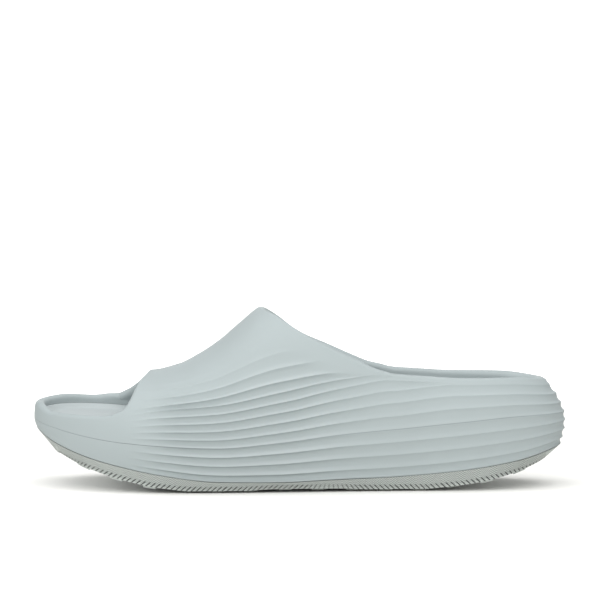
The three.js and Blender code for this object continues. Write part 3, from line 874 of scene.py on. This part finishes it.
def outsole_stack(side, x, raised, inset):
    """Points from the middle of the underside out to the edge, up the side, and back over the top."""
    reach = plane(side, x)[3]
    seam_share = 1 - (seam_tuck(x) + inset) / reach
    edge_share = 1 - (underside_tuck(x) + inset) / reach
    under = height_of("under", x)
    top = [
        in_plane(side, x, share * seam_share, foam_under(x, share) - FIT_GAP - inset)
        for share in (1.0, *UNDER_SHARES[::-1])
    ]
    bottom = [in_plane(side, x, share * edge_share, under + raised) for share in TREAD_SHARES]
    edge = in_plane(side, x, edge_share, under + (EDGE_RISE if raised else bar_end(x)))
    side_wall = [mix(edge, top[0], share) for share in SIDE_SHARES]
    return np.stack(bottom + side_wall + top, 1)


def outsole_marks(stack, x):
    """Millimetres along the side and above its lower edge, and the way the slits lean there."""
    edge = stack[:, EDGE_LEVEL]
    steps = np.linalg.norm(np.diff(edge, axis=0), axis=1)
    along = np.concatenate([[0], np.cumsum(steps)])
    up = np.full(stack.shape[:2], UNDERSIDE_MARK)
    for level in range(EDGE_LEVEL, SEAM_LEVEL + 1):
        up[:, level] = np.linalg.norm(stack[:, level] - edge, axis=1) / MM
    lean = 1 - 2 * smooth(*LEAN_TURNS, x / SHOE_LENGTH)
    levels = stack.shape[1]
    return [[(along[i] / MM, up[i, k], lean[i]) for k in range(levels)] for i in range(len(x))]


def tread_bars():
    """Blocks across the sole on both sides of the channel, with gaps between the bars."""
    made = bmesh.new()
    start = FIRST_BAR
    span = BALL_HALF_WIDTH + TOE_LEAN
    height = HEEL_RIM / 2 - LUG_DEPTH
    while start < SHOE_LENGTH:
        for sign in (-1, 1):
            place = Vector((start + BAR_LENGTH / 2, sign * (span + CHANNEL) / 2, height))
            block = bmesh.ops.create_cube(made, size=1.0)["verts"]
            bmesh.ops.scale(made, vec=(BAR_LENGTH, span, HEEL_RIM), verts=block)
            bmesh.ops.translate(made, vec=place, verts=block)
        start += TREAD_PITCH
    mesh = bpy.data.meshes.new("bar_blocks")
    made.to_mesh(mesh)
    made.free()
    blocks = bpy.data.objects.new("bar_blocks", mesh)
    bpy.context.scene.collection.objects.link(blocks)
    return blocks


def keep_inside(target, blocks):
    """Keeps the parts of a solid that lie inside the blocks."""
    step = target.modifiers.new("cut", "BOOLEAN")
    step.operation = "INTERSECT"
    step.object = blocks
    step.solver = "EXACT"
    with bpy.context.temp_override(object=target, active_object=target):
        bpy.ops.object.modifier_apply(modifier=step.name)
    bpy.data.objects.remove(blocks, do_unlink=True)


def join(first, second):
    made = bmesh.new()
    made.from_mesh(first.data)
    made.from_mesh(second.data)
    made.to_mesh(first.data)
    made.free()
    bpy.data.objects.remove(second, do_unlink=True)


outsole_sheet = Sheet()
bar_sheet = Sheet()
for side in ("lateral", "medial"):
    x = column_x(COLUMNS)
    stack = outsole_stack(side, x, LUG_DEPTH, 0.0)
    outsole_sheet.grid(stack, side == "medial", outsole_marks(stack, x))
    bar_sheet.grid(outsole_stack(side, x, 0.0, BAR_INSET), side == "medial")
bars = bar_sheet.build("tread")
keep_inside(bars, tread_bars())
outsole = outsole_sheet.build("outsole_rubber")
join(outsole, bars)
shift_to_frame(outsole)
outsole.data.polygons.foreach_set("use_smooth", [False] * len(outsole.data.polygons))
outsole_paint = Paint("outsole_rubber")
grit = outsole_paint.noise(scale=500.0)
along = outsole_paint.mark("X")
up = outsole_paint.mark("Y")
lean = outsole_paint.mark("Z")
slit_place = ((along - up * lean) / SLIT_PITCH).math("FRACT") - 0.5
slit = outsole_paint.ramp(slit_place.math("ABSOLUTE"), *SLIT_FADES, 1.0, 0.0)
slit = slit * outsole_paint.ramp(up, *SLIT_FOOT) * outsole_paint.ramp(up, *SLIT_TOP, 1.0, 0.0)
slit = slit * (lean * lean * SLIT_LEAN_GAIN + SLIT_LEAST)
zigzag = ((along / ZIGZAG_LENGTH).math("FRACT") - 0.5).math("ABSOLUTE") * ZIGZAG_HEIGHT
herring = ((up / ZIGZAG_PITCH + zigzag).math("FRACT") - 0.5).math("ABSOLUTE")
herring = outsole_paint.ramp(herring, *ZIGZAG_LINE) * outsole_paint.ramp(up, *ZIGZAG_FOOT)
rubber_deep = linear(166, 172, 168)
rubber_pale = linear(174, 180, 176)
# Painted shade: the herringbone's grooves are coloured darker for the shade in them
zigzag_groove_shade = linear(124, 129, 126)
# Painted shade: the slits are coloured near-black for the shade inside them
slit_painted_shade = linear(46, 49, 48)
rubber = outsole_paint.blend(grit, rubber_deep, rubber_pale)
rubber = outsole_paint.blend(herring * ZIGZAG_SHADE, rubber, zigzag_groove_shade)
outsole_paint.feed("Base Color", outsole_paint.blend(slit, rubber, slit_painted_shade))
outsole_paint.feed("Roughness", 0.55)
relief = grit * GRIT_HEIGHT - herring * ZIGZAG_DEPTH - slit
outsole_paint.bump(relief, distance=0.4 * MM, strength=0.6)
outsole.data.materials.append(outsole_paint.material)
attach(outsole, "root")
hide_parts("outsole")

# Studio: a white floor, broad soft light from above and a long lens a little above the shoe.
# The floor and the sheet behind it glow far from the shoe, so that the picture's ground is white.
# The floor also glows a little under the toe and the heel: painted light that lightens the shoe's shadow
# there.
FLOOR_SIZE = 12.0
FLOOR_GLOWS = (0.22, 0.9)
TOE_SHADOW_GLOW = (-0.13, -0.06, 0.26, 0.0)
HEEL_SHADOW_GLOW = (0.06, 0.13, 0.0, 0.13)
BACKDROP_AT = 2.6
BACKDROP_HALF_WIDTH = 1.0
BACKDROP_FOOT = -0.1
BACKDROP_HEIGHT = 1.4
BLACK = (0, 0, 0, 1)
WHITE = (1, 1, 1, 1)


def studio_sheet(name, corners):
    """A flat sheet of the studio, which is no piece of the shoe."""
    mesh = bpy.data.meshes.new(name)
    mesh.from_pydata(corners, [], [(0, 1, 2, 3)])
    made = bpy.data.objects.new(name, mesh)
    bpy.context.scene.collection.objects.link(made)
    return made


floor = studio_sheet("floor", [
    (-FLOOR_SIZE, -FLOOR_SIZE, 0), (FLOOR_SIZE, -FLOOR_SIZE, 0),
    (FLOOR_SIZE, FLOOR_SIZE, 0), (-FLOOR_SIZE, FLOOR_SIZE, 0),
])
floor_paint = Paint("studio_floor")
floor_place = floor_paint.node("ShaderNodeTexCoord", output="Object")
floor_distance = floor_paint.node("ShaderNodeVectorMath", {"operation": "LENGTH"}, [floor_place], output=1)
floor_along = floor_paint.node("ShaderNodeSeparateXYZ", {}, [floor_place], output=0)
# Painted light: the floor glows under the toe and the heel to lighten the shadow cast there
toe_glow_share = floor_paint.ramp(floor_along, *TOE_SHADOW_GLOW)
heel_glow_share = floor_paint.ramp(floor_along, *HEEL_SHADOW_GLOW)
glow = floor_paint.ramp(floor_distance, *FLOOR_GLOWS).math("MAXIMUM", toe_glow_share + heel_glow_share)
floor_paint.feed("Base Color", (0.8, 0.795, 0.772, 1))
floor_paint.feed("Roughness", 1.0)
floor_paint.feed("Specular IOR Level", 0.0)
floor_paint.feed("Emission Color", floor_paint.blend(glow, BLACK, WHITE))
floor_paint.feed("Emission Strength", 0.7)
floor.data.materials.append(floor_paint.material)

backdrop = studio_sheet("backdrop", [
    (-BACKDROP_HALF_WIDTH, BACKDROP_AT, BACKDROP_FOOT),
    (BACKDROP_HALF_WIDTH, BACKDROP_AT, BACKDROP_FOOT),
    (BACKDROP_HALF_WIDTH, BACKDROP_AT, BACKDROP_HEIGHT),
    (-BACKDROP_HALF_WIDTH, BACKDROP_AT, BACKDROP_HEIGHT),
])
backdrop_paint = Paint("studio_backdrop")
backdrop_paint.feed("Base Color", (0.8, 0.8, 0.8, 1))
backdrop_paint.feed("Emission Color", WHITE)
backdrop_paint.feed("Emission Strength", 1.0)
backdrop.data.materials.append(backdrop_paint.material)

world = bpy.data.worlds.new("studio")
world.use_nodes = True
sky = world.node_tree.nodes["Background"]
sky.inputs["Color"].default_value = WHITE
sky.inputs["Strength"].default_value = 0.4
bpy.context.scene.world = world


def soft_light(name, place, target, size, power):
    lamp = bpy.data.lights.new(name, "AREA")
    lamp.shape = "RECTANGLE"
    lamp.size, lamp.size_y = size
    lamp.energy = power
    made = bpy.data.objects.new(name, lamp)
    made.location = place
    made.rotation_euler = (Vector(target) - Vector(place)).to_track_quat("-Z", "Y").to_euler()
    bpy.context.scene.collection.objects.link(made)


soft_light("overhead", place=(0.0, -0.1, 1.6), target=(0, 0, 0), size=(2.6, 1.8), power=31)
soft_light("front_fill", place=(-0.25, -1.7, 0.8), target=(0, 0, 0.04), size=(2.0, 1.2), power=25)

CAMERA_DISTANCE = 1.9
CAMERA_LIFT = math.radians(4.5)
CAMERA_TARGET = Vector((0.0, 0.0, 0.048))
SENSOR_WIDTH = 36
PHOTO_SIZE = 600
PHOTO_SCALE = 0.5597 * MM
SHOE_CENTRE_PIXEL = (299.5, 398.6)
camera_data = bpy.data.cameras.new("camera")
camera = bpy.data.objects.new("camera", camera_data)
bpy.context.scene.collection.objects.link(camera)
back = Vector((0.0, -math.cos(CAMERA_LIFT), math.sin(CAMERA_LIFT)))
camera.location = CAMERA_TARGET + back * CAMERA_DISTANCE
camera.rotation_euler = (-back).to_track_quat("-Z", "Y").to_euler()
camera_data.sensor_width = SENSOR_WIDTH
camera_data.lens = SENSOR_WIDTH * CAMERA_DISTANCE / (PHOTO_SIZE * PHOTO_SCALE)
camera_data.shift_x = 0.5 - SHOE_CENTRE_PIXEL[0] / PHOTO_SIZE
camera_data.shift_y = SHOE_CENTRE_PIXEL[1] / PHOTO_SIZE - 0.5
bpy.context.scene.camera = camera
bpy.context.scene.view_settings.view_transform = "Standard"
